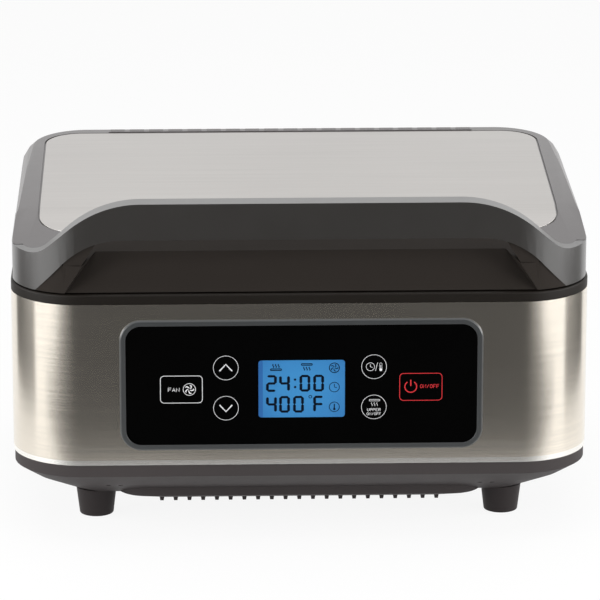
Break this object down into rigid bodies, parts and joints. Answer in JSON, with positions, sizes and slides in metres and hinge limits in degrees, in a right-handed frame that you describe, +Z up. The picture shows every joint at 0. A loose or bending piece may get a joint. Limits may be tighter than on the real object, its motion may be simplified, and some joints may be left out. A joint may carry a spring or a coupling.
{
  "type": "smokeless electric grill",
  "caption": "Table grill with a hinged heated lid, arched handle band, steel-wrapped body, touch panel, ridged plate, slide-out drip tray and an inner smoke fan.",
  "frame": {"origin": "on the surface that the grill stands on, below the middle of the whole object", "axes": "+X to the viewer's right when facing the control panel, +Y to the back, +Z up"},
  "size_m": [0.4636, 0.3664, 0.28],
  "materials": {
    "champagne_steel": "satin brushed, warm grey",
    "pale_steel": "fine brushed, pale",
    "dark_plastic": "smooth satin",
    "frame_plastic": "semi-gloss",
    "base_plastic": "fine grain",
    "bezel_plastic": "satin grey",
    "black_glass": "polished black",
    "liner_steel": "mill finish",
    "cast_plate": "non-stick coating",
    "element_steel": "heat-darkened",
    "hinge_metal": "satin black",
    "screw_steel": "zinc plated",
    "soft_rubber": "matt",
    "board": "printed circuit board",
    "display": "lit blue display",
    "motor_metal": "zinc plated can",
    "fan_plastic": "heat-proof moulding",
    "bush_brass": "sintered"
  },
  "bodies": {
    "base": {"base_pan": "base_plastic", "body_shell": "champagne_steel", "trim_ring": "dark_plastic", "foot_front_left": "base_plastic", "foot_front_right": "base_plastic", "foot_back_left": "base_plastic", "foot_back_right": "base_plastic", "foot_pad_front_left": "soft_rubber", "foot_pad_front_right": "soft_rubber", "foot_pad_back_left": "soft_rubber", "foot_pad_back_right": "soft_rubber", "foot_screws": "screw_steel", "back_screws": "screw_steel", "well_liner": "liner_steel", "grill_plate": "cast_plate", "lower_element": "element_steel", "lower_element_strip_left": "liner_steel", "lower_element_strip_right": "liner_steel", "tray_runner_left": "liner_steel", "tray_runner_right": "liner_steel", "grease_filter_left": "liner_steel", "grease_filter_right": "liner_steel", "smoke_duct": "liner_steel", "fan_shroud": "fan_plastic", "fan_motor": "motor_metal", "shaft_bush_lower": "bush_brass", "shaft_bush_upper": "bush_brass", "motor_bracket": "liner_steel", "panel_bezel": "bezel_plastic", "panel_glass": "black_glass", "panel_carrier": "dark_plastic", "touch_board": "board", "display_module": "display", "power_board": "board", "temperature_probe": "screw_steel", "thermal_cutout": "motor_metal", "cord_gland": "soft_rubber", "rear_vent_grille": "base_plastic", "hinge_bracket_left": "hinge_metal", "hinge_bracket_right": "hinge_metal", "hinge_pin_left": "screw_steel", "hinge_pin_right": "screw_steel"},
    "lid": {"lid_frame": "frame_plastic", "handle": "dark_plastic", "lid_top_panel": "pale_steel", "lid_liner": "liner_steel", "element_guard": "liner_steel", "upper_element": "element_steel", "upper_element_strip_left": "liner_steel", "upper_element_strip_right": "liner_steel", "lid_bumpers": "soft_rubber", "lid_vent_strip": "frame_plastic", "hinge_arm_left": "hinge_metal", "hinge_arm_right": "hinge_metal", "lid_screws": "screw_steel", "handle_screws": "screw_steel"},
    "tray": {"drip_tray": "liner_steel"},
    "fan": {"fan_impeller": "fan_plastic", "motor_shaft": "screw_steel"}
  },
  "joints": [
    {"name": "lid_hinge", "type": "hinge", "parent": "base", "child": "lid", "pos_m": [0, 0.17525, 0.207], "axis": [-1, 0, 0], "range_deg": [0, 88]},
    {"name": "tray_slide", "type": "slide", "parent": "base", "child": "tray", "axis": [0, 1, 0], "range_m": [0, 0.19]},
    {"name": "fan_spin", "type": "hinge", "parent": "base", "child": "fan", "pos_m": [0, -0.00875, 0.075], "axis": [0, 0, 1], "continuous": true}
  ]
}
